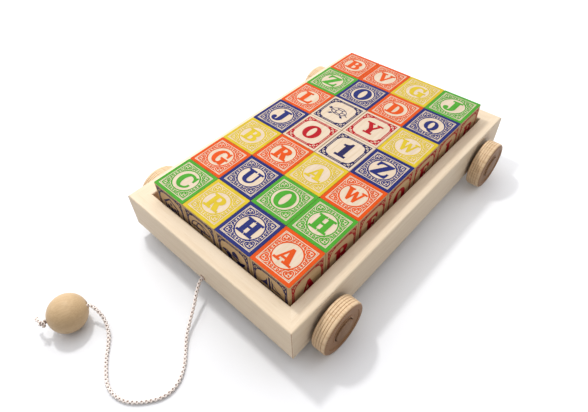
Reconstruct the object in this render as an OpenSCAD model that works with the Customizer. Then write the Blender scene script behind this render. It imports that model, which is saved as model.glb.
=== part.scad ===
// Pull-along wooden block wagon: a shallow mitred tray on four wheels, a pull cord with a
// wooden ball, and a layer of loose letter blocks. The front with the cord faces -Y, the
// origin is on the ground midway between the wheels, and everything is in millimetres.

/* [Tray] */
// Outside width of the tray
tray_w = 222.5; // [210:0.5:240]
// Outside length of the tray
tray_l = 352; // [345:1:370]
// Height of the four boards
board_h = 43; // [36:0.5:50]
// Thickness of the four boards
board_t = 17.5; // [14:0.5:17.5]
// Roundover along the boards' edges
board_edge = 1.5; // [0.5:0.25:2.5]
// Height of the boards' underside above the ground
ride_h = 16.8; // [12:0.2:20]
// Thickness of the floor panel
floor_t = 5; // [3:0.5:6]
// Depth of the tray from the boards' top to the floor panel
tray_depth = 23.6; // [20:0.1:25]

/* [Wheels] */
// Diameter of a wheel
wheel_d = 53; // [48:0.5:56]
// Width of a wheel's tread
wheel_w = 15; // [14:0.5:18]
// Distance of each axle from the middle of the wagon
axle_y = 131.5; // [110:0.5:145]
// Gap between a board and the tread
wheel_gap = 3; // [2.5:0.1:5]
// Diameter of a peg's shaft
peg_d = 9; // [8:0.5:9]
// Number of grooves turned in a tread
groove_count = 4; // [0:1:4]

/* [Blocks] */
// Pitch of the blocks in their layer
block_pitch = 44.45; // [44.4:0.05:44.6]
// Side of a cube block
block_size = 44.2; // [43:0.05:44.3]
// Softening of a block's edges
block_edge = 0.7; // [0.3:0.1:2]
// Shift of the layer of blocks towards the right board
blocks_x = 2.8; // [-4:0.1:4]
// Shift of the layer of blocks towards the back board
blocks_y = -1; // [-2:0.1:2]

/* [Cord and ball] */
// Diameter of the braided cord
cord_d = 3.5; // [3:0.1:4]
// Diameter of the pull ball
ball_d = 36; // [34:0.5:36]
// Diameter of the hole through the ball
ball_bore_d = 4.8; // [4.4:0.1:6]

/* [Hidden] */
$fn = 48;

maple = [0.90, 0.80, 0.66];
beech = [0.84, 0.68, 0.50];
cotton = [0.93, 0.91, 0.87];
// Inks of the blocks' top faces
G = [0.35, 0.68, 0.27];
Y = [0.88, 0.80, 0.20];
B = [0.16, 0.24, 0.50];
O = [0.92, 0.38, 0.14];
W = [0.94, 0.87, 0.76];
BLOCK_COLOURS = [
    [G, Y, B, O], [O, B, G, G], [Y, O, Y, O], [B, W, W, B], [O, W, W, Y], [G, B, O, B], [O, O, Y, G]
];

board_top = ride_h + board_h;
floor_top = board_top - tray_depth;
floor_bottom = floor_top - floor_t;
// Groove that the floor panel sits in, and the panel's play in it
groove_d = 5;
groove_play = 0.3;

axle_z = wheel_d / 2;
// Depth of a peg's hole in its board, from the outside
peg_hole_depth = 12;
peg_glue_gap = 0.02;
wheel_running_gap = 0.06;
peg_head_d = 21.8;
recess_d = 23.4;
recess_depth = 4.5;
// Play between a wheel and its peg's head and board, along the axle
head_play = 0.4;
boss_play = 0.5;
boss_r = 9;
head_below_face = 0.7;
tread_groove_w = 0.8;
tread_groove_d = 0.6;

block_columns = 4;
block_rows = 7;
block_rest_gap = 0.05;

cord_sides = 8;
cord_hole_x = -4;
cord_hole_z = 21.5;
cord_hole_d = 4.4;
// The middle of the ball and the turn of its hole about Z from +X
ball_pos = [-69.5, -281.5, ball_d / 2];
ball_turn = 70.5;
countersink_r = 4;
countersink_depth = 3;
knot_l = 7.2;
knot_r = 4.4;
knot_core_r = 2.4;
end_knot_offset = 18.1;

// The cord's route, from the knot inside the tray to the knot behind the ball
cord_route = [
    [-4, -158.2, 21.5], [-4, -167, 21.5], [-4, -176, 21.5], [-3.5, -180, 20.5], [-1.5, -184.5, 18.5],
    [2, -190.5, 15.5], [7, -197.5, 12], [11.5, -205, 9], [16, -212, 6.5], [20.5, -218.5, 4.5],
    [26, -224.5, 3], [32, -230, 2], [38, -235.5, 2], [43.5, -242, 2], [47.5, -249, 2],
    [49.5, -257.5, 2], [48, -266.5, 2], [43, -275, 2], [36.5, -282.5, 2], [29, -288.5, 2],
    [20.5, -292, 2], [11.5, -293, 2], [2.5, -291, 2], [-7, -286, 2], [-16, -280, 2],
    [-24, -273.5, 2], [-31.5, -267.5, 3.5], [-39, -263.5, 6.5], [-46, -261.5, 10.5],
    [-52, -261.5, 14.5], [-58, -262.5, 17.5], [-62, -264, 18], [-64.5, -267.5, 18],
    [-67, -274.5, 18], [-69.5, -281.5, 18], [-72, -288.5, 18], [-74.5, -295.5, 18], [-75.5, -298.5, 18]
];
tail_route = [[-79, -302, 18], [-82.5, -303.5, 17.5], [-86, -304, 16.5], [-89, -303.5, 15.5]];

// A rectangle centred on the origin, with its corners rounded by true arcs
module soft_rect(w, h, r) {
    square([w - 2 * r, h], center = true);
    square([w, h - 2 * r], center = true);
    for (sx = [-1, 1], sy = [-1, 1])
        translate([sx * (w / 2 - r), sy * (h / 2 - r)]) circle(r);
}

// A board along X with mitred ends and its outer face at -Y, as wide outside as length
module mitred_board(length, half_depth) {
    difference() {
        intersection() {
            translate([0, 0, ride_h]) linear_extrude(board_h) polygon([
                [-length / 2, -half_depth], [length / 2, -half_depth],
                [length / 2 - board_t, board_t - half_depth], [board_t - length / 2, board_t - half_depth]
            ]);
            translate([-length / 2, board_t / 2 - half_depth, ride_h + board_h / 2])
                rotate([90, 0, 90]) linear_extrude(length) soft_rect(board_t, board_h, board_edge);
        }
        translate([-length / 2, board_t - half_depth - groove_d, floor_bottom])
            cube([length, groove_d + 1, floor_t + groove_play]);
    }
}

module front_board() {
    color(maple) difference() {
        mitred_board(tray_w, tray_l / 2);
        translate([cord_hole_x, -tray_l / 2 - 1, cord_hole_z])
            rotate([-90, 0, 0]) cylinder(d = cord_hole_d, h = board_t + 2);
    }
}

module back_board() {
    color(maple) rotate([0, 0, 180]) mitred_board(tray_w, tray_l / 2);
}

// A side board with its two peg holes, where side is 1 on the right and -1 on the left
module side_board(side) {
    color(maple) difference() {
        rotate([0, 0, side * 90]) mitred_board(tray_l, tray_w / 2);
        for (end = [-1, 1])
            translate([side * (tray_w / 2 - peg_hole_depth), end * axle_y, axle_z])
                rotate([0, side * 90, 0]) cylinder(r = peg_d / 2 + peg_glue_gap, h = peg_hole_depth + 1);
    }
}

module floor_panel() {
    reach = 2 * (groove_d - groove_play - board_t);
    color(maple) translate([-(tray_w + reach) / 2, -(tray_l + reach) / 2, floor_bottom])
        cube([tray_w + reach, tray_l + reach, floor_t]);
}

// Places a child turned about Z on an axle, with z = 0 at the board's outer face
module on_axle(side, end) {
    translate([side * tray_w / 2, end * axle_y, axle_z]) rotate([0, side * 90, 0]) children();
}

module axle_peg(side, end) {
    recess_floor = wheel_gap + wheel_w - recess_depth;
    head_start = recess_floor + head_play;
    head_end = wheel_gap + wheel_w - head_below_face;
    color(beech) on_axle(side, end) {
        translate([0, 0, -peg_hole_depth]) cylinder(d = peg_d, h = peg_hole_depth + head_start + 1);
        translate([0, 0, head_start]) rotate_extrude() polygon([
            [0, 0], [peg_head_d / 2 - 0.4, 0], [peg_head_d / 2, 0.4], [peg_head_d / 2, 1.8],
            for (i = [0:4]) let (a = i * 22.5)
                [peg_head_d / 2 - 1.2 + 1.2 * cos(a), 1.8 + 1.2 * sin(a)],
            [peg_head_d / 4, head_end - head_start - 0.1], [0, head_end - head_start]
        ]);
    }
}

// Radius and place along the axle of a wheel's outline, from its inner face outwards
module wheel_outline() {
    tread_r = wheel_d / 2;
    soft_in = 2.2;
    soft_out = 2.6;
    first_groove = 3.2;
    groove_pitch = (wheel_w - 2 * first_groove - 1) / 3;
    polygon([
        [peg_d / 2 + wheel_running_gap, boss_play - wheel_gap], [boss_r, boss_play - wheel_gap],
        [boss_r + 0.6, 0],
        for (i = [0:4]) let (a = i * 22.5 - 90)
            [tread_r - soft_in + soft_in * cos(a), soft_in + soft_in * sin(a)],
        for (i = [0:1:groove_count - 1]) let (u = first_groove + i * groove_pitch)
            each [
                [tread_r, u - tread_groove_w / 2], [tread_r - tread_groove_d, u],
                [tread_r, u + tread_groove_w / 2]
            ],
        for (i = [0:5]) let (a = i * 18)
            [tread_r - soft_out + soft_out * cos(a), wheel_w - soft_out + soft_out * sin(a)],
        [tread_r - 5.5, wheel_w], [tread_r - 6.2, wheel_w - 0.8],
        [recess_d / 2 + 2.4, wheel_w - 1.2], [recess_d / 2 + 1.8, wheel_w - 0.6],
        [recess_d / 2 + 0.5, wheel_w - 0.6], [recess_d / 2, wheel_w - 1.1],
        [recess_d / 2, wheel_w - recess_depth],
        [peg_d / 2 + wheel_running_gap, wheel_w - recess_depth]
    ]);
}

module wheel(side, end) {
    color(beech) on_axle(side, end) translate([0, 0, wheel_gap])
        rotate_extrude($fn = 96) wheel_outline();
}

function unit(v) = v / norm(v);
// The direction of the route at point i, and the ring of the tube's points there
function route_dir(p, i) = unit(p[min(i + 1, len(p) - 1)] - p[max(i - 1, 0)]);
function ring(p, i, r) =
    let (t = route_dir(p, i), s = unit(cross(t, [0, 0, 1])), u = cross(s, t))
    [for (k = [0:cord_sides - 1]) let (a = (k + 0.5) * 360 / cord_sides) p[i] + r * (cos(a) * s + sin(a) * u)];

module swept_cord(route) {
    n = cord_sides;
    last = len(route) - 1;
    polyhedron(
        points = [for (i = [0:last]) each ring(route, i, cord_d / 2)],
        faces = [
            [for (k = [0:n - 1]) k],
            [for (k = [n - 1:-1:0]) last * n + k],
            for (i = [0:last - 1], k = [0:n - 1])
                [i * n + k, (i + 1) * n + k, (i + 1) * n + (k + 1) % n, i * n + (k + 1) % n]
        ]
    );
}

module pull_cord() {
    color(cotton) swept_cord(cord_route);
}

module cord_tail() {
    color(cotton) swept_cord(tail_route);
}

// A pulled-tight overhand knot as a waisted barrel along Z
module knot() {
    rotate_extrude() polygon([
        [0, 0], [knot_core_r, 0],
        for (i = [0:6]) let (a = i * 30 - 90)
            [knot_r - 1.8 + 1.8 * cos(a), knot_l / 2 + (knot_l / 2 - 0.6) * sin(a)],
        [knot_core_r, knot_l], [0, knot_l]
    ]);
}

module cord_inner_knot() {
    color(cotton) translate([cord_hole_x, board_t - tray_l / 2 + 0.2, cord_hole_z])
        rotate([-90, 0, 0]) knot();
}

module cord_end_knot() {
    color(cotton) translate(ball_pos) rotate([0, 0, ball_turn])
        translate([-end_knot_offset, 0, 0]) rotate([0, -90, 0]) knot();
}

module pull_ball() {
    color(beech) translate(ball_pos) rotate([0, 0, ball_turn]) rotate([0, 90, 0])
        difference() {
            sphere(d = ball_d);
            cylinder(d = ball_bore_d, h = ball_d + 2, center = true);
            for (end = [0, 1]) mirror([0, 0, end])
                translate([0, 0, ball_d / 2 - countersink_depth])
                    cylinder(r1 = ball_bore_d / 2, r2 = countersink_r + 0.4, h = countersink_depth);
        }
}

// Block at a column from 0 on the left and a row from 0 at the front
module letter_block(column, row) {
    x = blocks_x + (column - (block_columns - 1) / 2) * block_pitch;
    y = blocks_y + (row - (block_rows - 1) / 2) * block_pitch;
    color(BLOCK_COLOURS[row][column])
        translate([x, y, floor_top + block_rest_gap + block_size / 2])
        intersection() {
            linear_extrude(block_size, center = true) soft_rect(block_size, block_size, block_edge);
            rotate([90, 0, 0]) linear_extrude(block_size, center = true)
                soft_rect(block_size, block_size, block_edge);
            rotate([0, 90, 0]) linear_extrude(block_size, center = true)
                soft_rect(block_size, block_size, block_edge);
        }
}

front_board();
back_board();
side_board(-1);  // left_board
side_board(1);  // right_board
floor_panel();
axle_peg(-1, -1);  // axle_peg_front_left
axle_peg(1, -1);  // axle_peg_front_right
axle_peg(-1, 1);  // axle_peg_back_left
axle_peg(1, 1);  // axle_peg_back_right
wheel(-1, -1);  // wheel_front_left
wheel(1, -1);  // wheel_front_right
wheel(-1, 1);  // wheel_back_left
wheel(1, 1);  // wheel_back_right
pull_cord();
cord_inner_knot();
cord_end_knot();
cord_tail();
pull_ball();
letter_block(0, 0);  // block_1a
letter_block(1, 0);  // block_1b
letter_block(2, 0);  // block_1c
letter_block(3, 0);  // block_1d
letter_block(0, 1);  // block_2a
letter_block(1, 1);  // block_2b
letter_block(2, 1);  // block_2c
letter_block(3, 1);  // block_2d
letter_block(0, 2);  // block_3a
letter_block(1, 2);  // block_3b
letter_block(2, 2);  // block_3c
letter_block(3, 2);  // block_3d
letter_block(0, 3);  // block_4a
letter_block(1, 3);  // block_4b
letter_block(2, 3);  // block_4c
letter_block(3, 3);  // block_4d
letter_block(0, 4);  // block_5a
letter_block(1, 4);  // block_5b
letter_block(2, 4);  // block_5c
letter_block(3, 4);  // block_5d
letter_block(0, 5);  // block_6a
letter_block(1, 5);  // block_6b
letter_block(2, 5);  // block_6c
letter_block(3, 5);  // block_6d
letter_block(0, 6);  // block_7a
letter_block(1, 6);  // block_7b
letter_block(2, 6);  // block_7c
letter_block(3, 6);  // block_7d
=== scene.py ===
import math
import bmesh
import bpy
from mathutils import Matrix, Vector
from mathutils.kdtree import KDTree


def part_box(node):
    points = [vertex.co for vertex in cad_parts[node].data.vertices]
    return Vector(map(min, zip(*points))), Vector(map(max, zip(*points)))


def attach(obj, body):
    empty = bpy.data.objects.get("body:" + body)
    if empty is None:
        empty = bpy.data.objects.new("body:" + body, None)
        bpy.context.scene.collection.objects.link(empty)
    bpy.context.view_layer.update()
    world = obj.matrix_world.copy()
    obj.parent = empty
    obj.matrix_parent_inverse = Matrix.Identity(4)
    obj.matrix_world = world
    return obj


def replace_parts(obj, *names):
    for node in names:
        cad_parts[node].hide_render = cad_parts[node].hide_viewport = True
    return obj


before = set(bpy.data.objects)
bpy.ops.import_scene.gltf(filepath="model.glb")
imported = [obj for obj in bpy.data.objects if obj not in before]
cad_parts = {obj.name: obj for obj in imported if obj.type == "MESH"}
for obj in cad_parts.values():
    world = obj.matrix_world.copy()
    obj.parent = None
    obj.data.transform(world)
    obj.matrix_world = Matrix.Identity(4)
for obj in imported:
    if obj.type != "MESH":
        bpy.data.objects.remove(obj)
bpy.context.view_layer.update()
mm = 0.001

# The camera. Its angles are in degrees.
view = {
    "place": (0.23104, -0.29043, 0.39008),
    "azimuth": 45.66,
    "elevation": 45.46,
    "roll": -3.52,
    "sensorWidth": 36.0,
    "lens": 28.37,
    "shiftX": 0.01563,
    "shiftY": -0.03476,
    "nearest": 0.01,
    "farthest": 50,
}


def addCamera():
    azimuth, elevation, roll = (math.radians(view[k]) for k in ("azimuth", "elevation", "roll"))
    back = Vector((
        math.sin(azimuth) * math.cos(elevation),
        -math.cos(azimuth) * math.cos(elevation),
        math.sin(elevation),
    ))
    level = Vector((math.cos(azimuth), math.sin(azimuth), 0))
    up = back.cross(level)
    right = level * math.cos(roll) + up * math.sin(roll)
    upright = up * math.cos(roll) - level * math.sin(roll)
    turn = Matrix((right, upright, back)).transposed().to_4x4()
    lensData = bpy.data.cameras.new("camera")
    lensData.sensor_width = view["sensorWidth"]
    lensData.lens = view["lens"]
    lensData.shift_x = view["shiftX"]
    lensData.shift_y = view["shiftY"]
    lensData.clip_start = view["nearest"]
    lensData.clip_end = view["farthest"]
    camera = bpy.data.objects.new("camera", lensData)
    bpy.context.scene.collection.objects.link(camera)
    camera.matrix_world = Matrix.Translation(Vector(view["place"])) @ turn
    bpy.context.scene.camera = camera


addCamera()
print("camera placed")


def colour(red, green, blue):  # screen colour, 0 to 255, as linear light
    def linear(value):
        value /= 255
        return value / 12.92 if value <= 0.04045 else ((value + 0.055) / 1.055) ** 2.4
    return (linear(red), linear(green), linear(blue), 1)


class Finish:
    # a material and short ways to add nodes to it
    def __init__(self, name, roughness, specular=0.2):
        self.material = bpy.data.materials.new(name)
        self.material.use_nodes = True
        self.nodes = self.material.node_tree.nodes
        self.links = self.material.node_tree.links
        self.shader = self.nodes["Principled BSDF"]
        self.shader.inputs["Roughness"].default_value = roughness
        self.shader.inputs["Specular IOR Level"].default_value = specular

    def add(self, kind, **settings):
        node = self.nodes.new(kind)
        for key, value in settings.items():
            setattr(node, key, value)
        return node

    def feed(self, socket, value):
        if isinstance(value, bpy.types.NodeSocket):
            self.links.new(value, socket)
        else:
            socket.default_value = value

    def place(self, scale, turn=(0, 0, 0), shift=(0, 0, 0)):  # Object coordinates, stretched and turned
        source = self.add("ShaderNodeTexCoord")
        mapping = self.add("ShaderNodeMapping")
        self.links.new(source.outputs["Object"], mapping.inputs["Vector"])
        self.feed(mapping.inputs["Scale"], scale)
        self.feed(mapping.inputs["Rotation"], turn)
        self.feed(mapping.inputs["Location"], shift)
        return mapping.outputs["Vector"]

    def noise(self, where, scale, detail=3.0, roughness=0.5, distortion=0.0):
        node = self.add("ShaderNodeTexNoise")
        self.feed(node.inputs["Vector"], where)
        node.inputs["Scale"].default_value = scale
        node.inputs["Detail"].default_value = detail
        node.inputs["Roughness"].default_value = roughness
        node.inputs["Distortion"].default_value = distortion
        return node.outputs["Fac"]

    def ramp(self, value, *stops):
        node = self.add("ShaderNodeValToRGB")
        self.feed(node.inputs["Fac"], value)
        points = node.color_ramp.elements
        while len(points) < len(stops):
            points.new(0.5)
        for point, (where, tone) in zip(points, stops):
            point.position = where
            point.color = tone if isinstance(tone, tuple) else (tone, tone, tone, 1)
        return node.outputs["Color"]

    def math(self, operation, first, second=0.0):
        node = self.add("ShaderNodeMath", operation=operation)
        self.feed(node.inputs[0], first)
        self.feed(node.inputs[1], second)
        return node.outputs[0]

    def parts(self, vector):  # its x, y and z
        node = self.add("ShaderNodeSeparateXYZ")
        self.feed(node.inputs[0], vector)
        return node.outputs

    def reach(self, first, second):  # how far out a point is, from its two distances
        squares = [self.math("POWER", value, 2.0) for value in (first, second)]
        return self.math("SQRT", self.math("ADD", *squares))

    def mix(self, share, first, second, blend="MIX"):
        node = self.add("ShaderNodeMix", data_type="RGBA", blend_type=blend)
        self.feed(node.inputs[0], share)
        self.feed(node.inputs[6], first)
        self.feed(node.inputs[7], second)
        return node.outputs[2]

    def bump(self, height, strength, distance):
        node = self.add("ShaderNodeBump")
        self.feed(node.inputs["Height"], height)
        node.inputs["Strength"].default_value = strength
        node.inputs["Distance"].default_value = distance
        self.links.new(node.outputs["Normal"], self.shader.inputs["Normal"])

    def colourFrom(self, value):
        self.feed(self.shader.inputs["Base Color"], value)

    def roughnessFrom(self, value, low, high):
        node = self.add("ShaderNodeMapRange")
        self.feed(node.inputs["Value"], value)
        node.inputs["To Min"].default_value = low
        node.inputs["To Max"].default_value = high
        self.links.new(node.outputs["Result"], self.shader.inputs["Roughness"])


def meshOf(data, name, seam=1e-7):
    # the mesh that a curve gives, clean and closed
    holder = bpy.data.objects.new(name, data)
    bpy.context.scene.collection.objects.link(holder)
    graph = bpy.context.evaluated_depsgraph_get()
    mesh = bpy.data.meshes.new_from_object(holder.evaluated_get(graph))
    bpy.data.objects.remove(holder)
    bpy.data.curves.remove(data)
    shape = bmesh.new()
    shape.from_mesh(mesh)
    bmesh.ops.remove_doubles(shape, verts=shape.verts, dist=seam)
    bmesh.ops.dissolve_degenerate(shape, edges=shape.edges, dist=seam)
    bmesh.ops.recalc_face_normals(shape, faces=shape.faces)
    shape.to_mesh(mesh)
    shape.free()
    mesh.name = name
    return mesh


def finishedPiece(name, mesh, material, body="root"):
    mesh.materials.clear()
    mesh.materials.append(material)
    piece = bpy.data.objects.new(name, mesh)
    bpy.context.scene.collection.objects.link(piece)
    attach(piece, body)
    return piece


def shadeSmooth(mesh, angle=40):
    mesh.polygons.foreach_set("use_smooth", [True] * len(mesh.polygons))
    mesh.set_sharp_from_angle(angle=math.radians(angle))


# The boards and the floor panel of the tray.
maple = {
    "light": colour(217, 201, 178),
    "dark": colour(207, 188, 161),
    "pore": colour(192, 165, 127),
    # the dark joint line down the corners, and the painted shade round the cord hole
    "jointLineAndShade": colour(142, 92, 58),
    "streaks": 260.0,  # growth lines per metre across a board
    "stretch": 0.05,  # how long a streak is drawn out along the board
    "panelStreaks": 180.0,
    "panelStretch": 0.04,
    "jointLine": (110.25 * mm, 110.625 * mm),  # where the line begins and is full, out from the middle
    "holeMiddle": (-4 * mm, 0, 21.7 * mm),
    "holeShadeSpan": (2.7 * mm, 4 * mm),  # where the painted shade round the hole is full and ends
}


def woodFinish(name, along, tones, streaks, stretch, roughness=0.5, shift=(0, 0, 0), marks=(),
               turn=(0, 0, 0)):
    # long soft streaks, broad colour drift and fine pores, all drawn out along one axis
    finish = Finish(name, roughness)
    scale = [1.0, 1.0, 1.0]
    scale["xyz".index(along)] = stretch
    grain = finish.add("ShaderNodeVectorMath", operation="MULTIPLY")
    finish.feed(grain.inputs[0], finish.place((1, 1, 1), turn, shift))
    grain.inputs[1].default_value = scale
    grain = grain.outputs[0]
    lines = finish.noise(grain, streaks, detail=4, roughness=0.6, distortion=0.3)
    drift = finish.noise(grain, streaks * 0.13, detail=2)
    pores = finish.noise(grain, streaks * 6, detail=2, roughness=0.7)
    base = finish.ramp(lines, (0.3, tones["dark"]), (0.62, tones["light"]))
    toned = finish.mix(finish.ramp(drift, (0.35, 0.0), (0.7, 0.55)), base, tones["dark"])
    specks = finish.ramp(pores, (0.60, 0.0), (0.74, 0.5))
    wood = finish.mix(specks, toned, tones["pore"])
    # then each mark in its darker tone: on the maple, the corner joint lines and the painted shade round the
    # cord hole
    for jointLineAndShade in marks:
        wood = finish.mix(jointLineAndShade(finish), wood, tones["jointLineAndShade"])
    finish.colourFrom(wood)
    finish.roughnessFrom(lines, roughness - 0.06, roughness + 0.08)
    finish.bump(finish.math("ADD", lines, finish.math("MULTIPLY", pores, 0.5)), 0.12, 0.0003)
    return finish.material


def cornerLine(finish):
    # the fine dark line of the joint down the corner of the frame
    begins, full = (8.0 * where for where in maple["jointLine"])  # eighths of a metre, to fit a ramp
    out = finish.math("ABSOLUTE", finish.parts(finish.place((1, 1, 1)))[0])
    return finish.ramp(finish.math("MULTIPLY", out, 8.0), (begins, 0.0), (full, 0.8))


def holeShade(finish):
    # painted shade: the wood round the cord hole is darkened, standing for the shade inside the hole
    full, ends = (100.0 * where for where in maple["holeShadeSpan"])  # centimetres, to fit a ramp
    across, _, up = finish.parts(finish.place((1, 1, 1), shift=-Vector(maple["holeMiddle"])))
    out = finish.math("MULTIPLY", finish.reach(across, up), 100.0)
    return finish.ramp(out, (full, 0.9), (ends, 0.0))


mapleFront = woodFinish("maple_front", "x", maple, maple["streaks"], maple["stretch"],
                        marks=(cornerLine, holeShade))
mapleBack = woodFinish("maple_back", "x", maple, maple["streaks"], maple["stretch"],
                       shift=(0, 0.2, 0), marks=(cornerLine,))
mapleAlongY = woodFinish("maple_along_y", "y", maple, maple["streaks"], maple["stretch"],
                         shift=(0.3, 0, 0.1))
maplePanel = woodFinish("maple_panel", "y", maple, maple["panelStreaks"], maple["panelStretch"],
                        shift=(0.1, 0, 0.5))

# The turned wheels. Their shares run from 0 at the middle to 1 at the tread.
beech = {
    "light": colour(215, 188, 153),
    "dark": colour(190, 156, 118),
    "pore": colour(148, 106, 70),
    "paintedGapShade": colour(48, 30, 18),  # painted shade in the gap round the head of the peg
    "endGrain": colour(154, 116, 82),
    "endRing": colour(126, 90, 60),
    "pith": (0, -0.006, -0.03),  # from the middle of a wheel to the middle of its growth rings
    "rings": 620.0,  # per metre
    "ringWobble": 2.0,  # in rings
    "faceShares": (0.955, 0.99),  # where end grain stops and tread starts
    "paintedGapShadeShares": (0.40, 0.415, 0.438, 0.446),
}


def beechWheelFinish(name, centre):
    # a turned wheel: growth rings cross its face as end grain, with short ray flecks on the tread
    finish = Finish(name, 0.5)
    across = finish.place((1, 1, 1), shift=Vector(beech["pith"]) - centre)
    radius = finish.reach(*finish.parts(across)[1:])
    wobble = finish.math("MULTIPLY", finish.noise(across, 60.0, detail=2), beech["ringWobble"])
    rings = finish.math("ADD", finish.math("MULTIPLY", radius, beech["rings"]), wobble)
    face = finish.ramp(finish.math("FRACT", rings), (0.0, beech["endGrain"]), (0.75, beech["endRing"]),
                       (1.0, beech["endGrain"]))
    flecks = finish.noise(finish.place((0.25, 1, 1)), 1500.0, detail=2, roughness=0.7)
    bands = finish.noise(finish.place((0.12, 1, 1)), 420.0, detail=3)
    tread = finish.ramp(bands, (0.2, beech["dark"]), (0.55, beech["light"]))
    tread = finish.mix(finish.ramp(flecks, (0.60, 0.0), (0.72, 0.4)), tread, beech["pore"])
    out = finish.reach(*finish.parts(finish.place((1, 1, 1), shift=-centre))[1:])
    share = finish.math("DIVIDE", out, centre[2])
    isFace = finish.ramp(share, *zip(beech["faceShares"], (1.0, 0.0)))
    # painted shade: a dark ring on the wheel face round the peg head, where the gap between them lies in
    # shade
    paintedGapShade = finish.ramp(share, *zip(beech["paintedGapShadeShares"], (0.0, 1.0, 1.0, 0.0)))
    finish.colourFrom(finish.mix(paintedGapShade, finish.mix(isFace, tread, face), beech["paintedGapShade"]))
    finish.bump(flecks, 0.15, 0.0002)
    return finish.material


def assign(node, material):
    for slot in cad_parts[node].material_slots:
        slot.material = material


assign("front_board", mapleFront)
assign("back_board", mapleBack)
for boardName in ("left_board", "right_board"):
    assign(boardName, mapleAlongY)
assign("floor_panel", maplePanel)

for end in ("front", "back"):
    for side in ("left", "right"):
        low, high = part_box(f"wheel_{end}_{side}")
        assign(f"wheel_{end}_{side}", beechWheelFinish(f"beech_wheel_{end}_{side}", (low + high) / 2))

# The pull ball. Its grain runs along its bore.
ball = {
    "light": colour(198, 171, 134),
    "dark": colour(182, 154, 117),
    "pore": colour(150, 118, 84),
    "streaks": 1100.0,
    "stretch": 0.05,
    "roughness": 0.42,
    "boreTurn": (0, 0, math.radians(19.5)),
}
assign("pull_ball", woodFinish("beech_ball", "y", ball, ball["streaks"], ball["stretch"],
                               roughness=ball["roughness"], turn=ball["boreTurn"]))
print("frame finishes on")

# The axle pegs, each with a domed head that stands just proud of its wheel.
pegs = {
    "light": colour(146, 112, 80),
    "dark": colour(112, 80, 54),
    "pore": colour(84, 58, 38),
    "streaks": 700.0,
    "stretch": 0.2,
    "shank": 4.5 * mm,  # radius
    "head": 10.9 * mm,  # radius
    "headBack": 3.4 * mm,  # from the peg's outer end to the back of its head
    "backEdge": 0.3 * mm,
    "edge": 1.0 * mm,  # rounding of the head's rim
    "wall": 4.7 * mm,  # from the back of the head to its rim
    "crown": 5.4 * mm,  # and to its middle
    "sides": 72,
}


def pegOutline():
    # half of the head in section, as (distance from the head's back, radius)
    head, edge, wall = pegs["head"], pegs["edge"], pegs["wall"]
    outline = [(0, pegs["shank"]), (0, head - pegs["backEdge"]), (pegs["backEdge"], head)]
    for angle in (math.radians(15 * n) for n in range(7)):
        outline.append((wall - edge * (1 - math.sin(angle)), head - edge * (1 - math.cos(angle))))
    for share in (0.75, 0.5, 0.25):
        rise = (pegs["crown"] - wall) * (1 - (share * head / (head - edge)) ** 2)
        outline.append((wall + rise, share * head))
    return outline


def pegMesh(name, low, high, way):
    # the shank and the head, turned about the axle
    tip, back = (high[0], low[0]) if way > 0 else (low[0], high[0])
    start = tip - way * pegs["headBack"]
    middle = (low + high) / 2
    outline = [(back, pegs["shank"])] + [(start + way * out, radius) for out, radius in pegOutline()]
    shape = bmesh.new()
    line = [shape.verts.new((along, middle[1] + radius, middle[2])) for along, radius in outline]
    edges = [shape.edges.new(pair) for pair in zip(line, line[1:])]
    bmesh.ops.spin(shape, geom=line + edges, cent=middle, axis=(1, 0, 0), angle=math.tau,
                   steps=pegs["sides"], use_merge=True)
    bmesh.ops.holes_fill(shape, edges=shape.edges, sides=pegs["sides"])
    bmesh.ops.recalc_face_normals(shape, faces=shape.faces)
    mesh = bpy.data.meshes.new(name)
    shape.to_mesh(mesh)
    shape.free()
    return mesh


pegFinish = woodFinish("beech_peg", "x", pegs, pegs["streaks"], pegs["stretch"])
for end in ("front", "back"):
    for side, way in (("left", -1), ("right", 1)):
        low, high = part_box(f"axle_peg_{end}_{side}")
        mesh = pegMesh(f"peg_{end}_{side}", low, high, way)
        shadeSmooth(mesh)
        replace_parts(finishedPiece(f"peg_{end}_{side}", mesh, pegFinish), f"axle_peg_{end}_{side}")
print("pegs turned")

# The pull cord: four strands braided over and under each other. Its routes are in millimetres.
cord = {
    "diameter": 3.7 * mm,  # over its strands
    "plainDiameter": 3.5 * mm,  # taken as one plain round
    "strandRadius": 0.82 * mm,
    "weave": 0.3 * mm,  # how far a strand rises and dips at a crossing
    "lay": 7.6 * mm,  # length of one full turn of a strand
    "step": 0.5 * mm,
    "exit": (-4 * mm, -176 * mm, 21.5 * mm),
    "fibreLight": colour(252, 247, 242),
    "fibreDark": colour(222, 208, 200),
    "driftTone": colour(226, 205, 192),
    # painted shade where the strands dip between each other
    "paintedGrooveShade": colour(128, 106, 97),
}
cordRoute = [
    (-4, -158.2, 21.5), (-4, -167, 21.5), (-4, -176, 21.5), (-3.5, -180, 20.5), (-1.5, -184.5, 18.5),
    (2, -190.5, 15.5), (7, -197.5, 12), (11.5, -205, 9), (16, -212, 6.5), (20.5, -218.5, 4.5),
    (26, -224.5, 3), (32, -230, 2), (38, -235.5, 2), (43.5, -242, 2), (47.5, -249, 2),
    (49.5, -257.5, 2), (48, -266.5, 2), (43, -275, 2), (36.5, -282.5, 2), (29, -288.5, 2),
    (20.5, -292, 2), (11.5, -293, 2), (2.5, -291, 2), (-7, -286, 2), (-16, -280, 2), (-24, -273.5, 2),
    (-31.5, -267.5, 3.5), (-39, -263.5, 6.5), (-46, -261.5, 10.5), (-52, -261.5, 14.5),
    (-58, -262.5, 17.5), (-62, -264, 18), (-64.5, -267.5, 18), (-67, -274.5, 18), (-69.5, -281.5, 18),
    (-72, -288.5, 18), (-74.5, -295.5, 18), (-75.5, -298.5, 18),
]
tailRoute = [
    (-77, -300.5, 18), (-79, -302, 18), (-82.5, -303.5, 17.5), (-86, -304, 16.5), (-89, -303.5, 15.5),
]


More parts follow.
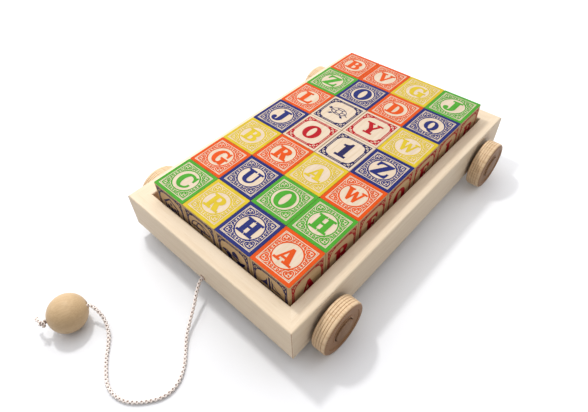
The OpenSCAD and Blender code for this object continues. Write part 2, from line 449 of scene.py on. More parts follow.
def smoothLine(points, step):
    # a smooth curve through the points, then evenly spaced along its length
    points = [Vector(p) for p in points]
    ends = [points[0] * 2 - points[1], *points, points[-1] * 2 - points[-2]]
    fine, perSpan = [], 16
    for a, b, c, d in zip(ends, ends[1:], ends[2:], ends[3:]):
        for k in range(perSpan):
            t = k / perSpan
            fine.append(0.5 * (2 * b + (c - a) * t + (2 * a - 5 * b + 4 * c - d) * t * t
                               + (3 * b - a - 3 * c + d) * t ** 3))
    fine.append(points[-1])
    reach = [0.0]
    for a, b in zip(fine, fine[1:]):
        reach.append(reach[-1] + (b - a).length)
    count = max(2, round(reach[-1] / step))
    line, k = [], 0
    for n in range(count + 1):
        goal = reach[-1] * n / count
        while k < len(fine) - 2 and reach[k + 1] < goal:
            k += 1
        share = (goal - reach[k]) / max(reach[k + 1] - reach[k], 1e-9)
        line.append(fine[k].lerp(fine[k + 1], min(share, 1)))
    return line, reach[-1]


def tubes(name, lines, radii, sides=5):
    # one mesh of round closed tubes, one along each line
    data = bpy.data.curves.new(name, "CURVE")
    data.dimensions = "3D"
    data.bevel_depth = 1.0
    data.bevel_resolution = sides - 2
    data.use_fill_caps = True
    for line, radius in zip(lines, radii):
        spline = data.splines.new("POLY")
        spline.points.add(len(line) - 1)
        for point, place in zip(spline.points, line):
            point.co = (*place, 1)
            point.radius = radius
    return meshOf(data, name)


def braid(name, points):
    line, length = smoothLine([Vector(p) * mm for p in points], cord["step"])
    base = cord["diameter"] / 2 - cord["strandRadius"] - cord["weave"]
    strands = [[] for _ in range(4)]
    across = Vector((0.3, 0.2, 1))
    for n, place in enumerate(line):
        ahead = (line[min(n + 1, len(line) - 1)] - line[max(n - 1, 0)]).normalized()
        across = (across - ahead * across.dot(ahead)).normalized()  # carried along without twist
        third = ahead.cross(across)
        turn = 2 * math.pi * length * n / (len(line) - 1) / cord["lay"]
        for k in range(4):
            way = 1 if k % 2 else -1
            angle = way * turn + (k // 2) * math.pi
            out = base + way * cord["weave"] * math.cos(2 * turn)
            strands[k].append(place + (across * math.cos(angle) + third * math.sin(angle)) * out)
    mesh = tubes(name, strands + [line], [cord["strandRadius"]] * 4 + [base])
    # how deep each point lies between the strands, kept as "groove" for the painted shade in the cotton
    middle = KDTree(len(line))
    for n, place in enumerate(line):
        middle.insert(place, n)
    middle.balance()
    depths = []
    for vertex in mesh.vertices:
        n = middle.find(vertex.co)[1]
        n = min(max(n, 1), len(line) - 2)
        ahead = (line[n + 1] - line[n - 1]).normalized()
        offset = vertex.co - line[n]
        reach = (offset - ahead * offset.dot(ahead)).length
        depths.append(1 - (reach - base) / (cord["diameter"] / 2 - base))
    mesh.attributes.new("groove", "FLOAT", "POINT").data.foreach_set("value", depths)
    return mesh, line, length


def cottonFinish():
    # each strand is painted pale where it stands out and dark where it dips, as painted shade in the grooves
    # between strands, read from its own "groove" values
    finish = Finish("braided_cotton", 0.85, specular=0.1)
    fibres = finish.noise(finish.place((1, 1, 1)), 2600.0, detail=3, roughness=0.7)
    drift = finish.noise(finish.place((1, 1, 1)), 160.0, detail=2)
    base = finish.ramp(fibres, (0.3, cord["fibreDark"]), (0.62, cord["fibreLight"]))
    toned = finish.mix(finish.ramp(drift, (0.4, 0.0), (0.75, 0.35)), base, cord["driftTone"])
    groove = finish.add("ShaderNodeAttribute", attribute_name="groove").outputs["Fac"]
    grooveShadeShare = finish.ramp(groove, (0.32, 0.0), (0.66, 0.9))
    finish.colourFrom(finish.mix(grooveShadeShare, toned, cord["paintedGrooveShade"]))
    finish.bump(fibres, 0.5, 0.0002)
    return finish.material


def knotPoints(middle, along):
    # a knot's wrap: the cord swings out, goes about one and a half times round, and dives back in
    middle, along = Vector(middle), Vector(along).normalized()
    across = along.cross(Vector((0, 0, 1))).normalized()
    up = across.cross(along)
    points = []
    for n in range(knot["steps"] + 1):
        t = n / knot["steps"]
        angle = math.radians(knot["startAngle"] + knot["turn"] * t)
        out = knot["wrap"] * math.sin(math.pi * t) ** knot["swell"]
        points.append(middle + along * knot["length"] * (t - 0.5)
                      + (across * math.cos(angle) + up * math.sin(angle)) * out)
    return points


# The knots, in millimetres and degrees.
knot = {
    "length": 4.464,
    "wrap": 2.65,  # radius
    "startAngle": -60,
    "turn": 560,
    "swell": 0.45,  # how quickly the cord swings out and back; smaller is quicker
    "steps": 28,
}
cotton = cottonFinish()
cordMesh, cordLine, cordLength = braid("pull_cord_braid", cordRoute)
shadeSmooth(cordMesh)
cordPiece = finishedPiece("pull_cord_braid", cordMesh, cotton)
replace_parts(cordPiece, "pull_cord")


def knotPiece(name, node, way):
    low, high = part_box(node)
    mesh, _, _ = braid(name, knotPoints((low + high) / 2 / mm, way))
    shadeSmooth(mesh)
    piece = finishedPiece(name, mesh, cotton)
    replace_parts(piece, node)
    return piece


innerKnot = knotPiece("inner_knot_wrap", "cord_inner_knot", (0, 1, 0))
endKnot = knotPiece("end_knot_wrap", "cord_end_knot", (-0.334, -0.943, 0))
tailMesh, _, _ = braid("cord_tail_braid", tailRoute)
shadeSmooth(tailMesh)
tailPiece = finishedPiece("cord_tail_braid", tailMesh, cotton)
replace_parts(tailPiece, "cord_tail")
print("cord braided,", round(cordLength, 3), "m")

# The letter blocks.
block = {
    "half": 22.1 * mm,  # half of a block's size over its print
    "coreHalf": 22.05 * mm,
    "coreHeight": 21.97 * mm,  # half height of the wood under the raised colour faces
    "cornerBevel": 0.9 * mm,
    "plateBevel": 0.18 * mm,
    "plateThickness": 0.3 * mm,
    "printThickness": 0.15 * mm,
    "letterHeight": 0.94,  # of half a face
    "pictureScale": 1.3,
    "letterGrow": 3.0,  # how much bolder the letters are than their outlines below, in their own grid
    "light": colour(197, 181, 161),
    "dark": colour(187, 168, 144),
    "pore": colour(172, 146, 114),
    # painted shade: the upright faces of a block are multiplied by this warmer, darker tone
    "paintedSideShade": colour(246, 226, 190),
    "streaks": 420.0,
    "grainStep": (0.37, 0.61, 0.23),  # how far a block's grain is moved from its neighbour's
}

# Outlines on a grid where a capital is 100 high. "x,y" is a straight step, a trailing h or v is a
# quarter ellipse that sets off level or upright, and "x,y~a,b" is a curve pulled towards a,b. A slash
# ends a loop.
letters = {
    "A": "-56,0 -18,0 -18,8 -33,8 -26,26 10,26 14,8 4,8 4,0 58,0 58,8 44,8 12,100 -2,100 -42,8 -56,8"
         " / -22,34 8,34 -3,78",
    "B": "-52,0 10,0 46,27h 30,48v 30,58 40,76h 6,100v -52,100 -52,92 -38,92 -38,8 -52,8"
         " / -12,8 4,8 20,28h 4,49v -12,49 / -12,57 2,57 14,75h 2,92v -12,92",
    "C": "46,64 46,100 40,100 36,90 0,102v -46,50h 0,-2v 46,34h 38,34 4,7v -18,50h 4,93v 38,64h",
    "D": "-48,0 0,0 48,50h 0,100v -48,100 -48,92 -36,92 -36,8 -48,8 / -10,8 -2,8 20,50h -2,92v -10,92",
    "E": "-44,0 38,0 42,34 36,34 12,8v -8,8 -8,46 10,46 10,34 16,34 16,68 10,68 10,54 -8,54 -8,92 10,92"
         " 34,70h 40,70 38,100 -44,100 -44,92 -34,92 -34,8 -44,8",
    "F": "-44,0 6,0 6,8 -8,8 -8,46 10,46 10,34 16,34 16,68 10,68 10,54 -8,54 -8,92 10,92 34,70h 40,70"
         " 38,100 -44,100 -44,92 -34,92 -34,8 -44,8",
    "G": "42,66 42,100 36,100 32,90 -2,102v -46,50h -2,-2v 20,8h 26,0 46,0 46,42 56,42 56,50 8,50 8,42"
         " 20,42 20,20 2,7v -18,50h 2,93v 34,66h",
    "H": "-52,0 -5,0 -5,8 -14,8 -14,46 14,46 14,8 5,8 5,0 52,0 52,8 40,8 40,92 52,92 52,100 5,100 5,92"
         " 14,92 14,54 -14,54 -14,92 -5,92 -5,100 -52,100 -52,92 -40,92 -40,8 -52,8",
    "J": "-16,92 -2,92 -2,22 -12,6v -18,12h -16,22 -28,34v -40,21h -11,-2v 24,28h 24,92 38,92 38,100"
         " -16,100",
    "L": "-44,0 42,0 46,36 39,36 14,8v -6,8 -6,92 8,92 8,100 -44,100 -44,92 -32,92 -32,8 -44,8",
    "O": "0,-2 46,50h 0,102v -46,50h 0,-2v / 0,7 20,50h 0,93v -20,50h 0,7v",
    "Q": "14,0 46,50h 0,102v -46,50h -6,-2v 2,-14 22,-24 44,-20 44,-12 30,-14 20,-8"
         " / 0,7 20,50h 0,93v -20,50h 0,7v",
    "R": "-54,0 -2,0 -2,8 -14,8 -14,46 -7,46 13,0 54,0 54,8 44,8 22,50 42,75h 6,100v -54,100 -54,92"
         " -40,92 -40,8 -54,8 / -14,55 0,55 16,74h 0,92v -14,92",
    "U": "-54,92 -40,92 -40,34 -2,-2v 38,34h 38,92 52,92 52,100 16,100 16,92 30,92 30,34 4,9v -14,34h"
         " -14,92 0,92 0,100 -54,100",
    "V": "-54,100 -8,100 -8,92 -20,92 6,26 30,92 18,92 18,100 54,100 54,92 42,92 4,-2 -6,-2 -44,92"
         " -54,92",
    "W": "-66,100 -24,100 -24,92 -33,92 -17,34 -3,88 9,88 25,34 43,92 32,92 32,100 66,100 66,92 52,92"
         " 27,-2 17,-2 -1,58 -17,-2 -27,-2 -57,92 -66,92",
    "Y": "-54,100 -8,100 -8,92 -19,92 4,54 26,92 14,92 14,100 50,100 50,92 37,92 12,46 12,8 26,8 26,0"
         " -28,0 -28,8 -14,8 -14,44 -43,92 -54,92",
    "Z": "-44,0 42,0 46,34 39,34 12,8v -12,8 44,94 44,100 -40,100 -44,68 -37,68 -12,92v 14,92 -44,6",
    "1": "-29,-6 31,-6 31,3 15,3 15,106 6,106 -28,85v -28,77 -13,77 -13,3 -29,3",
}

# Picture outlines for the picture faces, in half faces.
pictures = {
    "turtle": "-.34,.02 0,.27v .34,.02h 0,-.16v -.34,.02h"
              " / -.075,-.05 -.115,.05 -.07,.135 .07,.135 .115,.05 .075,-.05"
              " / -.075,.17 .075,.17 .13,.212 0,.238~.07,.238 -.13,.212~-.07,.238"
              " / .105,.15 .15,.06 .305,.06 .165,.2~.27,.16 / -.105,.15 -.15,.06 -.305,.06 -.165,.2~-.27,.16"
              " / .15,.025 .3,.025 .175,-.1~.28,-.05 .115,-.055 / -.15,.025 -.3,.025 -.175,-.1~-.28,-.05"
              " -.115,-.055 / -.075,-.083 .075,-.083 .115,-.112 0,-.128~.06,-.128 -.115,-.112~-.06,-.128"
              " / -.35,.1 -.42,.15~-.38,.15 -.5,.09~-.49,.15 -.43,.03~-.5,.03 -.36,.03~-.39,.03"
              " / -.47,.09 -.455,.105v -.44,.09h -.455,.075v -.47,.09h"
              " / -.26,-.13 -.35,-.25 -.24,-.25 -.16,-.16 / .26,-.13 .35,-.25 .24,-.25 .16,-.16"
              " / .35,.0 .48,-.08 .36,-.06",
    "house": "0,.5 -.46,.12 -.36,.12 -.36,-.42 .36,-.42 .36,.12 .46,.12"
             " / 0,.41 -.29,.16 -.29,-.36 -.1,-.36 -.1,-.05 0,.05v .1,-.05h .1,-.36 .29,-.36 .29,.16"
             " / -.24,-.08 -.24,.1 -.12,.1 -.12,-.08 / .24,-.08 .24,.1 .12,.1 .12,-.08 / -.06,.2 0,.26v"
             " .06,.2h 0,.14v -.06,.2h",
    "umbrella": "-.5,.02 0,.46v .5,.02h .34,.05~.42,.12 .17,.02~.26,.12 .03,.05~.1,.1 .03,-.3 .12,-.38v"
                " .2,-.3h .25,-.3 .12,-.44v -.03,-.3h -.03,.05 -.17,.02~-.1,.1 -.34,.05~-.26,.12"
                " -.5,.02~-.42,.12 / -.42,.11 -.08,.39v -.24,.12~-.22,.26 -.34,.13~-.28,.16"
                " / .42,.11 .08,.39v .24,.12~.22,.26 .34,.13~.28,.16 / -.17,.12 0,.37v .17,.12h 0,.13~.08,.16"
                " -.17,.12~-.08,.16",
    "bird": "-.52,.1 -.36,.2~-.46,.2 -.1,.1~-.2,.24 .3,.02~.1,.1 .52,.14 .44,-.06 .1,-.22~.26,-.2"
            " -.26,-.12~-.12,-.24 -.38,.06~-.34,0 / -.12,.05 .16,-.02~.04,.05 .06,-.13~.12,-.1"
            " -.1,-.07~-.04,-.13 / -.34,.13 -.31,.16v -.28,.13h -.31,.1v -.34,.13h"
            " / -.02,-.24 .02,-.24 .04,-.4 -.1,-.4 -.1,-.37 0,-.36 / .1,-.24 .14,-.24 .2,-.4 .06,-.4"
            " .06,-.37 .15,-.36 / -.05,.13 .08,.4~-.1,.3 .24,.1~.24,.3",
    "boat": "-.5,-.12 .5,-.12 .34,-.38 -.3,-.38 / -.36,-.18 .36,-.18 .28,-.32 -.24,-.32"
            " / -.05,-.06 -.05,.5 .02,.5 .02,-.06 / -.1,0 -.1,.42 -.42,0~-.16,.14 / .07,0 .07,.46"
            " .44,0~.14,.16 / .12,.05 .12,.3 .33,.05~.16,.14",
    "fish": "-.5,.02 -.06,.26~-.36,.26 .28,.06~.16,.24 .5,.24 .42,0 .5,-.2 .28,-.06 -.06,-.24~.16,-.22"
            " -.5,.02~-.36,-.24 / -.2,.17 .2,.02~.08,.17 -.2,-.14~.08,-.14 -.12,.02~-.12,-.06"
            " -.2,.17~-.12,.1 / -.4,.05 -.36,.09v -.32,.05h -.36,.01v -.4,.05h"
            " / -.1,.32 .1,.34 .14,.24~.06,.3",
}

# Loops of the raised colour face, in half faces. One heart and half of one side are drawn, and the rest
# are those turned and mirrored.
plate = {
    "edge": 0.998,
    "edgeTurned": 0.965,  # on a turned block, where it would show as a coloured line in the seam
    "edgeRound": 0.045,
    "lineOuter": 0.845,
    "lineInner": 0.803,
    "disc": 0.588,
    "discGap": 0.004,  # least space between the letter and the disc's edge
    "heart": "0,.705 .12,.645v .245,.775h 0,1.118~.24,.94 -.245,.775~-.24,.94 -.12,.645v 0,.705h"
             " / 0,.75 .116,.682v .208,.777h 0,1.066~.205,.925 -.208,.777~-.205,.925 -.116,.682v 0,.75h"
             " / 0,.818 .108,.738v .155,.785h 0,.985~.15,.895 -.155,.785~-.15,.895 -.108,.738v 0,.818h"
             " / .028,.802 .08,.752v .132,.802h .08,.852v .028,.802h / -.028,.802 -.08,.752v -.132,.802h"
             " -.08,.852v -.028,.802h / 0,.845 .042,.892~.036,.855 0,.962~.025,.935 -.042,.892~-.025,.935"
             " 0,.845~-.036,.855",
    "side": "-.37,.765 .37,.765 .34,.715~.35,.75 .308,.635~.32,.67 .318,.56~.298,.60 0,.637~.168,.637"
            " -.318,.56~-.168,.637 -.308,.635~-.298,.60 -.34,.715~-.32,.67 -.37,.765~-.35,.75"
            " / 0,.647 .052,.69~.055,.655 0,.76~.03,.735 -.052,.69~-.03,.735 0,.647~-.055,.655",
    "curl": ".15,.638 .213,.7h .15,.762v .087,.7h .15,.638v"
            " / .15,.68 .17,.7h .15,.72v .13,.7h .15,.68v"
            " / .236,.76 .31,.71~.30,.752 .288,.60~.305,.65 .236,.65~.25,.61 .236,.76~.228,.71",
}

# Loops of the printed frame on the bare faces, in half faces.
printFrame = {
    "outer": 0.88,
    "letterHeight": 0.9,
    "letterReach": 0.62,
    "window": ".75,.4 .71,.42 .42,.71v .4,.75",  # one corner, from right to top
    "hatchPitch": 0.062,
    "hatchCount": 13,
    "hatch": "-.016,.787 .012,.787 .040,.842 .012,.842",
    "corner": ".70,.768 .768,.70h .70,.632v .632,.70h .70,.768v / .70,.728 .728,.70h .70,.672v .672,.70h"
              " .70,.728v / .80,.50 .80,.68~.862,.59 .80,.50~.762,.585 / .50,.80 .68,.80~.585,.762"
              " .50,.80~.59,.862 / .765,.812 .812,.765 .848,.848",
}


def pointsOf(text, steps=4):
    # reads outlines into loops of points
    loops = []
    for part in text.split("/"):
        loop = []
        for step in part.split():
            place, _, pull = step.partition("~")
            curve = place[-1] if place[-1] in "hv" else ""
            goal = Vector([float(n) for n in place.rstrip("hv").split(",")])
            if not loop or not (curve or pull):
                loop.append(goal)
                continue
            start = loop[-1].copy()
            for n in range(1, steps + 1):
                t = n / steps
                if pull:
                    bend = Vector([float(n) for n in pull.split(",")])
                    loop.append(start * (1 - t) ** 2 + bend * 2 * t * (1 - t) + goal * t * t)
                    continue
                rise, run = math.sin(t * math.pi / 2), 1 - math.cos(t * math.pi / 2)
                shareX, shareY = (rise, run) if curve == "h" else (run, rise)
                loop.append(start + Vector(((goal.x - start.x) * shareX, (goal.y - start.y) * shareY)))
        if (loop[0] - loop[-1]).length < 1e-6:
            loop.pop()
        loops.append(loop)
    return loops


def turned(loops, degrees=0, mirrorX=False, scale=1.0, shift=(0, 0)):
    turn = Matrix.Rotation(math.radians(degrees), 2)
    flip = -1 if mirrorX else 1
    return [[turn @ Vector((p.x * flip, p.y)) * scale + Vector(shift) for p in loop] for loop in loops]


def squareLoop(half, rounding=0.0):
    if not rounding:
        return [Vector((x * half, y * half)) for x, y in ((1, 1), (-1, 1), (-1, -1), (1, -1))]
    inner = half - rounding
    return pointsOf(f"{inner},{-half} {half},{-inner}h {half},{inner} {inner},{half}v {-inner},{half}"
                    f" {-half},{inner}h {-half},{-inner} {-inner},{-half}v")[0]


def ringLoop(radius, count=56):
    angles = [2 * math.pi * n / count for n in range(count)]
    return [Vector((radius * math.cos(angle), radius * math.sin(angle))) for angle in angles]


def grown(loop, amount):
    # the same loop moved out by an amount, or in where it is negative
    sharpest = 0.35  # keeps a narrow corner from running out to a spike
    area = sum(a.x * b.y - b.x * a.y for a, b in zip(loop, loop[1:] + loop[:1]))
    side = amount if area > 0 else -amount
    result = []
    for before, here, after in zip(loop[-1:] + loop[:-1], loop, loop[1:] + loop[:1]):
        first, second = (here - before).normalized(), (after - here).normalized()
        out = Vector((first.y + second.y, -first.x - second.x))
        result.append(here + out * side / max(1 + first.dot(second), sharpest))
    return result


def letterLoops(name, height, reach):
    # the letter centred on the face, and drawn smaller where its corners would pass the reach
    outline, *holes = turned(pointsOf(letters[name], 7), shift=(0, -50))
    loops = [grown(outline, block["letterGrow"])]
    loops += [grown(hole, -block["letterGrow"]) for hole in holes]
    widest = max(p.length for loop in loops for p in loop)
    scale = min(height / 100, reach / widest)
    return turned(loops, scale=scale)


def plateLoops(name, edge):
    loops = [squareLoop(edge, plate["edgeRound"]), squareLoop(plate["lineOuter"]),
             squareLoop(plate["lineInner"]), ringLoop(plate["disc"])]
    loops += letterLoops(name, block["letterHeight"], plate["disc"] - plate["discGap"])
    for quarter in range(4):
        loops += turned(pointsOf(plate["heart"]), 90 * quarter + 45)
        loops += turned(pointsOf(plate["side"]), 90 * quarter)
        loops += turned(pointsOf(plate["curl"]), 90 * quarter)
        loops += turned(pointsOf(plate["curl"]), 90 * quarter, mirrorX=True)
    return loops


def printLoops(inside):
    window, corner = [], pointsOf(printFrame["window"], 6)[0]
    for quarter in range(4):
        window += turned([corner], 90 * quarter)[0]
    loops = [squareLoop(printFrame["outer"]), window]
    hatch = pointsOf(printFrame["hatch"])
    for quarter in range(4):
        for n in range(printFrame["hatchCount"]):
            along = (n - (printFrame["hatchCount"] - 1) / 2) * printFrame["hatchPitch"]
            loops += turned(turned(hatch, shift=(along, 0)), 90 * quarter)
        loops += turned(pointsOf(printFrame["corner"]), 90 * quarter)
    return loops + inside


def flatMesh(name, loops, thickness):
    # fills the loops, odd ones solid and even ones open, and gives them a thickness
    data = bpy.data.curves.new(name, "CURVE")
    data.dimensions = "2D"
    data.fill_mode = "BOTH"
    data.extrude = thickness / 2 / mm  # drawn in millimetres, because the filling joins closer points
    for loop in loops:
        spline = data.splines.new("POLY")
        spline.points.add(len(loop) - 1)
        spline.use_cyclic_u = True
        for point, place in zip(spline.points, loop):
            point.co = (place.x * block["half"] / mm, place.y * block["half"] / mm, 0, 1)
    mesh = meshOf(data, name, 1e-4)
    mesh.transform(Matrix.Scale(mm, 4))
    return mesh


def plateMesh(name, edge):
    mesh = flatMesh(f"plate_{name}", plateLoops(name, edge), block["plateThickness"])
    shape = bmesh.new()
    shape.from_mesh(mesh)
    limit = block["half"] * (edge - plate["edgeRound"])
    rim = []
    for e in shape.edges:
        outside = all(v.co.z > 0 and max(abs(v.co.x), abs(v.co.y)) > limit for v in e.verts)
        if outside and abs(e.link_faces[0].normal.z - e.link_faces[1].normal.z) > 0.5:
            rim.append(e)
    bmesh.ops.bevel(shape, geom=rim, offset=block["plateBevel"], offset_type="OFFSET", affect="EDGES",
                    segments=2, profile=0.5, material=-1)
    shape.to_mesh(mesh)
    shape.free()
    return mesh


def faceTurn(face):
    # from a flat shape facing up to one face of a block, with its top edge up
    turns = {
        "top": Matrix.Identity(4),
        "bottom": Matrix.Rotation(math.pi, 4, "X"),
        "front": Matrix.Rotation(math.pi / 2, 4, "X"),
        "back": Matrix.Rotation(math.pi, 4, "Z") @ Matrix.Rotation(math.pi / 2, 4, "X"),
        "right": Matrix.Rotation(math.pi / 2, 4, "Z") @ Matrix.Rotation(math.pi / 2, 4, "X"),
        "left": Matrix.Rotation(-math.pi / 2, 4, "Z") @ Matrix.Rotation(math.pi / 2, 4, "X"),
    }
    return turns[face]


def joined(name, parts):
    # one mesh from (mesh, matrix) pairs
    shape = bmesh.new()
    for source, matrix in parts:
        before = set(shape.verts)
        shape.from_mesh(source)
        bmesh.ops.transform(shape, matrix=matrix, verts=[v for v in shape.verts if v not in before])
    mesh = bpy.data.meshes.new(name)
    shape.to_mesh(mesh)
    shape.free()
    return mesh


def coreMesh():
    shape = bmesh.new()
    bmesh.ops.create_cube(shape, size=2.0)
    half, height = block["coreHalf"], block["coreHeight"]
    bmesh.ops.scale(shape, vec=(half, half, height), verts=shape.verts)
    upright = [e for e in shape.edges if abs(e.verts[0].co.z - e.verts[1].co.z) > height]
    bmesh.ops.bevel(shape, geom=upright, offset=block["cornerBevel"], offset_type="OFFSET",
                    affect="EDGES", segments=3, profile=0.5, material=-1)
    mesh = bpy.data.meshes.new("block_core")
    shape.to_mesh(mesh)
    shape.free()
    return mesh


# The layer of blocks, front row first, as colour and letter. "bareRed" and "bareBlue" are turned blocks
# that show a bare face on top: a letter face in red, or a picture face in blue.
blockRows = [
    ["green C", "yellow R", "blue H", "orange A"],
    ["orange G", "blue U", "green O", "green H"],
    ["yellow B", "orange R", "yellow A", "orange W"],
    ["blue J", "bareRed O", "bareBlue 1", "blue Z"],
    ["orange L", "bareBlue turtle", "bareRed Y", "yellow W"],
    ["green Z", "blue O", "orange D", "blue Q"],
    ["orange B", "orange V", "yellow G", "green J"],
]
sideLetters = ["DQLA", "GVUR", "HCYE", "BWFO", "ZAQE", "RLDJ", "UYGB"]  # in red, by row and column
frontPictures = ["house", "umbrella", "bird", "boat", "fish", "turtle"]

inkColours = {
    "orange": colour(196, 70, 2),
    "green": colour(64, 144, 38),
    "yellow": colour(190, 166, 34),
    "blue": colour(24, 34, 98),
    "red": colour(158, 3, 22),
    "navy": colour(29, 27, 74),  # the picture faces
}
inkPore = colour(238, 214, 180)  # what shows through an ink


def inkFinish(name, base):
    # a printed ink: slightly uneven, with the wood's pores showing through as fine paler specks
    finish = Finish(f"ink_{name}", 0.5, specular=0.08)
    grain = finish.place((1, 0.15, 1))
    pores = finish.noise(grain, 2400.0, detail=2, roughness=0.7)
    cloud = finish.noise(finish.place((1, 1, 1)), 110.0, detail=3)
    darker = (base[0] * 0.86, base[1] * 0.84, base[2] * 0.86, 1)
    toned = finish.mix(finish.ramp(cloud, (0.35, 0.0), (0.7, 0.8)), base, darker)
    paler = tuple(0.55 * c + 0.45 * w for c, w in zip(base, inkPore))
    finish.colourFrom(finish.mix(finish.ramp(pores, (0.62, 0.0), (0.74, 0.22)), toned, paler))
    finish.roughnessFrom(cloud, 0.4, 0.55)
    finish.bump(pores, 0.1, 0.0001)
    return finish.material


def basswoodFinish():
    # pale block wood; each block carries its own "blockShift" so that no grain runs on to its neighbour
    finish = Finish("basswood", 0.6)
    own = finish.add("ShaderNodeAttribute", attribute_name="blockShift")
    where = finish.place((1, 0.07, 1))
    shifted = finish.add("ShaderNodeVectorMath", operation="ADD")
    finish.feed(shifted.inputs[0], where)
    finish.feed(shifted.inputs[1], own.outputs["Vector"])
    lines = finish.noise(shifted.outputs[0], block["streaks"], detail=4, roughness=0.6, distortion=0.4)
    pores = finish.noise(shifted.outputs[0], 2600.0, detail=2)
    base = finish.ramp(lines, (0.3, block["dark"]), (0.62, block["light"]))
    wood = finish.mix(finish.ramp(pores, (0.6, 0.0), (0.75, 0.35)), base, block["pore"])
    # painted shade: faces that stand upright get a warmer, darker tone than the tops
    upward = finish.parts(finish.add("ShaderNodeNewGeometry").outputs["Normal"])[2]
    side = finish.ramp(finish.math("ABSOLUTE", upward), (0.3, 1.0), (0.7, 0.0))
    finish.colourFrom(finish.mix(side, wood, finish.mix(1.0, wood, block["paintedSideShade"], "MULTIPLY")))
    finish.bump(lines, 0.12, 0.0002)
    return finish.material


inks = {name: inkFinish(name, base) for name, base in inkColours.items()}
basswood = basswoodFinish()
core = coreMesh()
plateCache, printCache = {}, {}


def plateOf(name, edge):
    if (name, edge) not in plateCache:
        plateCache[name, edge] = plateMesh(name, edge)
    return plateCache[name, edge]


def printOf(name):
    if name not in printCache:
        if name in pictures:
            inside = turned(pointsOf(pictures[name], 5), scale=block["pictureScale"])
        else:
            inside = letterLoops(name, printFrame["letterHeight"], printFrame["letterReach"])
        printCache[name] = flatMesh(f"print_{name}", printLoops(inside), block["printThickness"])
    return printCache[name]


def faceParts(mesh, faces, lift):
    return [(mesh, faceTurn(face) @ Matrix.Translation((0, 0, lift))) for face in faces]


def buildBlock(node, design, number):
    low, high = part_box(node)
    place = Matrix.Translation((low + high) / 2)
    colourName, sign = design.split()
    plateLift = block["half"] - block["plateThickness"] / 2
    printLift = block["half"] - block["printThickness"] / 2
    turn = Matrix.Identity(4)
    plateInk, plateSign, plateEdge = colourName, sign, plate["edge"]
    sideSign = sideLetters[number // 4][number % 4]
    pictureSign = frontPictures[number % len(frontPictures)]
    redFaces, blueFaces = [(sideSign, ("right", "left"))], [(pictureSign, ("front", "back"))]
    if colourName.startswith("bare"):
        plateInk, plateSign = ("green", "D") if number % 2 else ("orange", "U")
        plateEdge = plate["edgeTurned"]
        if colourName == "bareRed":  # its right face, turned up
            redFaces = [(sign, ("right",)), (sideSign, ("left",))]
            turn = Matrix.Rotation(-math.pi / 2, 4, "Y") @ Matrix.Rotation(-math.pi / 2, 4, "X")
        else:  # its front face, turned up
            blueFaces = [(sign, ("front",)), (pictureSign, ("back",))]
            turn = Matrix.Rotation(-math.pi / 2, 4, "X")
    matrix = place @ turn
    letterParts, pictureParts = (
        [part for shown, faces in group for part in faceParts(printOf(shown), faces, printLift)]
        for group in (redFaces, blueFaces))
    groups = [
        ("plate", plateInk, faceParts(plateOf(plateSign, plateEdge), ("top", "bottom"), plateLift)),
        ("letters", "red", letterParts),
        ("picture", "blue", pictureParts),
    ]
    wood = joined(f"{node}_wood", [(core, matrix)])
    shift = wood.attributes.new("blockShift", "FLOAT_VECTOR", "POINT")
    own = [part * step for part, step in zip((number, number % 5, number % 7), block["grainStep"])]
    shift.data.foreach_set("vector", own * len(wood.vertices))
    piece = finishedPiece(f"{node}_wood", wood, basswood, node)
    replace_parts(piece, node)
    for label, ink, parts in groups:
        mesh = joined(f"{node}_{label}", [(source, matrix @ turnIn) for source, turnIn in parts])
        finish = inks["navy" if label == "picture" else ink]
        printed = finishedPiece(f"{node}_{label}", mesh, finish, node)


for row, designs in enumerate(blockRows):
    for column, design in enumerate(designs):
        buildBlock(f"block_{row + 1}{'abcd'[column]}", design, 4 * row + column)
print("blocks printed,", len(plateCache), "plates and", len(printCache), "prints")

# The floor and the light.
studio = {
    "floorSize": 12.0,
    "floorTone": (0.735, 0.745, 0.765, 1),
    "floorCentre": (-0.1, -0.15, 0),
    "floorGlow": (0.18, 1.0, 0.5),  # painted light: where the floor's glow starts and is full, out from floorCentre, and how strong it gets, so the floor fades to white
    "wallTone": (1, 1, 1, 1),
    "keyPlace": (-0.42, -0.03, 0.90),
    "keyPower": 4.6,
    "keySize": 0.10,
    "keyTint": (1.0, 0.99, 0.97),
    "fillFrom": (-0.50, 0.34, 0.80),  # the side that the soft light comes from
    "fillRange": (0.1, 2.08),  # its strength on the far side and on its own side
    "fillTint": (0.975, 0.985, 1.0, 1),
    "fillLowTint": (1.0, 0.945, 0.925, 1),  # on the far side
}


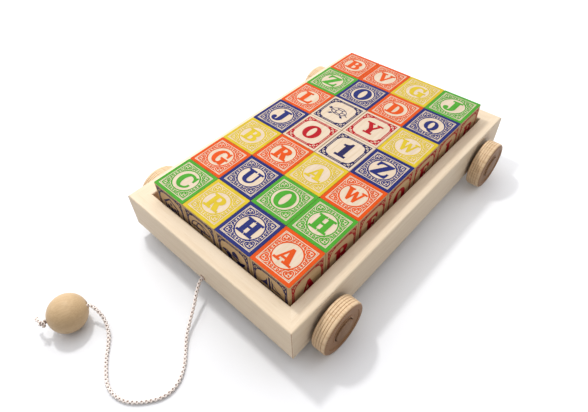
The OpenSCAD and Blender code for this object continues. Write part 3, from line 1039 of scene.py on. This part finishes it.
def addStudio():
    shape = bmesh.new()
    bmesh.ops.create_grid(shape, x_segments=4, y_segments=4, size=studio["floorSize"] / 2)
    mesh = bpy.data.meshes.new("studio_floor")
    shape.to_mesh(mesh)
    shape.free()
    finish = Finish("studio_floor", 0.9, specular=0.1)
    finish.colourFrom(studio["floorTone"])
    # painted light: the floor glows, more the farther it lies from floorCentre, so it turns white far out
    span = finish.add("ShaderNodeVectorMath", operation="LENGTH")
    finish.feed(span.inputs[0], finish.place((1, 1, 1), shift=-Vector(studio["floorCentre"])))
    glow = finish.add("ShaderNodeMapRange")
    finish.feed(glow.inputs["Value"], span.outputs["Value"])
    for socket, value in zip(("From Min", "From Max", "To Max"), studio["floorGlow"]):
        glow.inputs[socket].default_value = value
    finish.shader.inputs["Emission Color"].default_value = (1, 1, 1, 1)
    finish.feed(finish.shader.inputs["Emission Strength"], glow.outputs["Result"])
    mesh.materials.append(finish.material)
    floor = bpy.data.objects.new("studio_floor", mesh)
    bpy.context.scene.collection.objects.link(floor)
    key = bpy.data.lights.new("key", "AREA")
    key.shape = "DISK"
    key.energy = studio["keyPower"]
    key.size = studio["keySize"]
    key.color = studio["keyTint"]
    lamp = bpy.data.objects.new("key", key)
    bpy.context.scene.collection.objects.link(lamp)
    lamp.location = studio["keyPlace"]
    lamp.rotation_euler = Vector(studio["keyPlace"]).to_track_quat("Z", "Y").to_euler()
    world = bpy.data.worlds.new("studio")
    world.use_nodes = True
    nodes, link = world.node_tree.nodes, world.node_tree.links.new
    sky = nodes["Background"]
    source = nodes.new("ShaderNodeTexCoord")
    facing = nodes.new("ShaderNodeVectorMath")
    facing.operation = "DOT_PRODUCT"
    facing.inputs[1].default_value = Vector(studio["fillFrom"]).normalized()
    link(source.outputs["Generated"], facing.inputs[0])
    spread = nodes.new("ShaderNodeMapRange")
    spread.inputs["To Min"].default_value = studio["fillRange"][0]
    spread.inputs["To Max"].default_value = studio["fillRange"][1]
    link(facing.outputs["Value"], spread.inputs["Value"])
    link(spread.outputs["Result"], sky.inputs["Strength"])
    tint = nodes.new("ShaderNodeMix")
    tint.data_type = "RGBA"
    tint.inputs[6].default_value = studio["fillLowTint"]
    tint.inputs[7].default_value = studio["fillTint"]
    link(facing.outputs["Value"], tint.inputs[0])
    link(tint.outputs[2], sky.inputs["Color"])
    wall = nodes.new("ShaderNodeBackground")  # the plain pale wall behind, which lights nothing
    wall.inputs["Color"].default_value = studio["wallTone"]
    path = nodes.new("ShaderNodeLightPath")
    choose = nodes.new("ShaderNodeMixShader")
    link(path.outputs["Is Camera Ray"], choose.inputs[0])
    link(sky.outputs[0], choose.inputs[1])
    link(wall.outputs[0], choose.inputs[2])
    link(choose.outputs[0], nodes["World Output"].inputs["Surface"])
    bpy.context.scene.world = world
    bpy.context.scene.view_settings.view_transform = "Standard"


addStudio()
print("studio lit")
